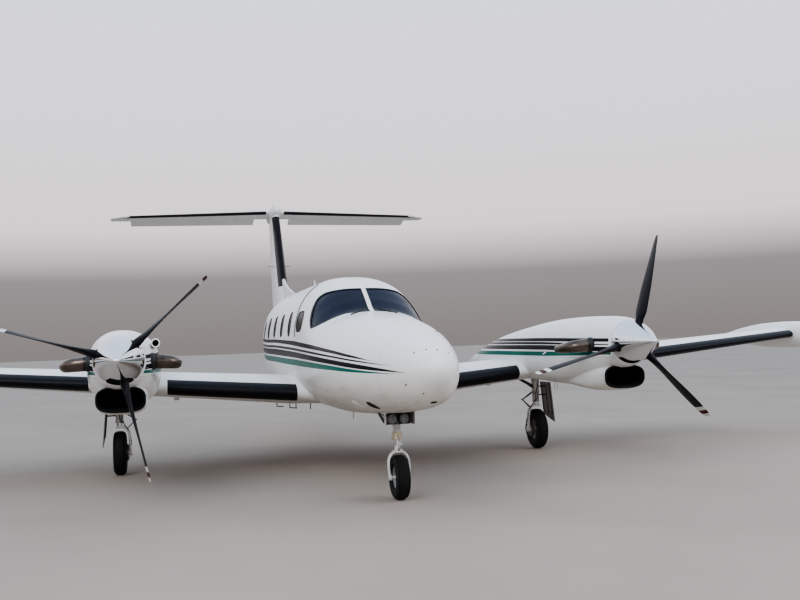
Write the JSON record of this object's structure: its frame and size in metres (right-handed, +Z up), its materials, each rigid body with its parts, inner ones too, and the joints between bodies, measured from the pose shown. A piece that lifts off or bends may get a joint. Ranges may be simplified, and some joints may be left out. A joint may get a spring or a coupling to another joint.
{
  "type": "twin turboprop aircraft",
  "caption": "Low-wing T-tail cabin aircraft on its tricycle gear, with wing-mounted turboprops, tip tanks, moving controls, airstair door and furnished cabin.",
  "frame": {"origin": "on the ground, at the centre of the whole aircraft's bounding box seen from above", "axes": "+X to the port wing tip, +Y aft, +Z up"},
  "size_m": [14.53, 13.23, 4.518],
  "materials": {
    "white": "white gloss paint over aluminium, with black, green and white stripes",
    "glass": "tinted laminated glazing",
    "carpet": "short carpet",
    "panel": "matt dark grey panel",
    "leather": "soft beige leather",
    "engine_metal": "bare engine casings",
    "exhaust_metal": "heat-stained bronze-brown steel",
    "blade_paint": "matt charcoal with white and dark red tip bands",
    "chrome": "polished",
    "gear_metal": "grey painted steel and bare oleo",
    "wheel_metal": "silver painted casting",
    "tyre": "worn black rubber"
  },
  "bodies": {
    "airframe": {"nose_cone": "white", "nose_section": "white", "cabin_shell": "white", "tail_cone": "white", "windscreen_l": "glass", "windscreen_r": "glass", "cabin_glazing_l": "glass", "cabin_glazing_r": "glass", "cabin_floor": "carpet", "instrument_panel": "panel", "crew_seat_l": "leather", "crew_seat_r": "leather", "cabin_seats_l": "leather", "cabin_seats_r": "leather", "wing_l": "white", "wing_r": "white", "nacelle_l": "white", "nacelle_r": "white", "engine_l": "engine_metal", "engine_r": "engine_metal", "exhaust_inboard_l": "exhaust_metal", "exhaust_inboard_r": "exhaust_metal", "exhaust_outboard_l": "exhaust_metal", "exhaust_outboard_r": "exhaust_metal", "fin": "white", "tailplane": "white", "nose_leg": "gear_metal", "nose_gear_door_l": "white", "nose_gear_door_r": "white", "main_leg_l": "gear_metal", "main_leg_r": "gear_metal", "main_gear_door_l": "white", "main_gear_door_r": "white"},
    "propeller_port": {"propeller_l": "blade_paint", "spinner_l": "chrome"},
    "propeller_starboard": {"propeller_r": "blade_paint", "spinner_r": "chrome"},
    "nose_steering": {"nose_fork": "gear_metal"},
    "nose_wheel": {"nose_rim": "wheel_metal", "nose_tyre": "tyre"},
    "main_wheel_port": {"main_rim_l": "wheel_metal", "main_tyre_l": "tyre"},
    "main_wheel_starboard": {"main_rim_r": "wheel_metal", "main_tyre_r": "tyre"},
    "flaps_port": {"flap_inner_l": "white", "flap_outer_l": "white"},
    "flaps_starboard": {"flap_inner_r": "white", "flap_outer_r": "white"},
    "aileron_port": {"aileron_l": "white"},
    "aileron_starboard": {"aileron_r": "white"},
    "elevator_port": {"elevator_l": "white"},
    "elevator_starboard": {"elevator_r": "white"},
    "rudder": {"rudder": "white"},
    "cabin_door_upper": {"cabin_door_upper": "white", "cabin_door_glazing": "glass"},
    "cabin_door_lower": {"cabin_door_lower": "white"},
    "nose_baggage_door": {"nose_baggage_door": "white"}
  },
  "joints": [
    {"name": "propeller_port_spin", "type": "hinge", "parent": "airframe", "child": "propeller_port", "pos_m": [2.708, -4.953, 1.505], "axis": [0, 1, 0], "continuous": true},
    {"name": "propeller_starboard_spin", "type": "hinge", "parent": "airframe", "child": "propeller_starboard", "pos_m": [-2.708, -4.953, 1.505], "axis": [0, 1, 0], "continuous": true},
    {"name": "nose_steering", "type": "hinge", "parent": "airframe", "child": "nose_steering", "pos_m": [0, -5.015, 0.2225], "axis": [0, 0.1132, 0.9936], "range_deg": [-27, 27]},
    {"name": "nose_wheel_spin", "type": "hinge", "parent": "nose_steering", "child": "nose_wheel", "pos_m": [0, -5.015, 0.2225], "axis": [1, 0, 0], "continuous": true},
    {"name": "main_wheel_port_spin", "type": "hinge", "parent": "airframe", "child": "main_wheel_port", "pos_m": [2.872, -1.564, 0.2805], "axis": [1, 0, 0], "continuous": true},
    {"name": "main_wheel_starboard_spin", "type": "hinge", "parent": "airframe", "child": "main_wheel_starboard", "pos_m": [-2.872, -1.564, 0.2805], "axis": [1, 0, 0], "continuous": true},
    {"name": "flaps_port_swing", "type": "hinge", "parent": "airframe", "child": "flaps_port", "pos_m": [0.84, -0.76456, 0.99835], "axis": [-0.9947, 0.0532, -0.0884], "range_deg": [0, 37]},
    {"name": "flaps_starboard_swing", "type": "hinge", "parent": "airframe", "child": "flaps_starboard", "pos_m": [-0.84, -0.76456, 0.99835], "axis": [-0.9947, -0.0532, 0.0884], "range_deg": [0, 37]},
    {"name": "aileron_port_swing", "type": "hinge", "parent": "airframe", "child": "aileron_port", "pos_m": [4.712, -0.97062, 1.34246], "axis": [-0.9958, 0.0329, -0.0851], "range_deg": [-20, 20]},
    {"name": "aileron_starboard_swing", "type": "hinge", "parent": "airframe", "child": "aileron_starboard", "pos_m": [-4.712, -0.97062, 1.34246], "axis": [-0.9958, -0.0329, 0.0851], "range_deg": [-20, 20]},
    {"name": "elevator_port_swing", "type": "hinge", "parent": "airframe", "child": "elevator_port", "pos_m": [0.37, 6.06, 4.36527], "axis": [-0.9999, 0, 0.0155], "range_deg": [-40, 2]},
    {"name": "elevator_starboard_swing", "type": "hinge", "parent": "airframe", "child": "elevator_starboard", "pos_m": [-0.37, 6.06, 4.36527], "axis": [-0.9999, 0, -0.0155], "range_deg": [-40, 2]},
    {"name": "rudder_swing", "type": "hinge", "parent": "airframe", "child": "rudder", "pos_m": [0, 5.705, 2.372], "axis": [0, 0.1901, 0.9818], "range_deg": [-28, 28]},
    {"name": "cabin_door_upper_swing", "type": "hinge", "parent": "airframe", "child": "cabin_door_upper", "pos_m": [0.55793, 0.865, 2.1875], "axis": [0.0319, -0.9995, 0], "range_deg": [0, 85]},
    {"name": "cabin_door_lower_swing", "type": "hinge", "parent": "airframe", "child": "cabin_door_lower", "pos_m": [0.60796, 0.865, 1.0775], "axis": [-0.0838, 0.9965, 0], "range_deg": [0, 100]},
    {"name": "nose_baggage_door_swing", "type": "hinge", "parent": "airframe", "child": "nose_baggage_door", "pos_m": [0.424, -5.075, 1.6855], "axis": [-0.299, -0.9542, 0], "range_deg": [0, 80]}
  ],
  "couplings": [
    {"joint": "flaps_starboard_swing", "follows": "flaps_port_swing", "ratio": 1},
    {"joint": "aileron_starboard_swing", "follows": "aileron_port_swing", "ratio": -1},
    {"joint": "elevator_starboard_swing", "follows": "elevator_port_swing", "ratio": 1}
  ]
}
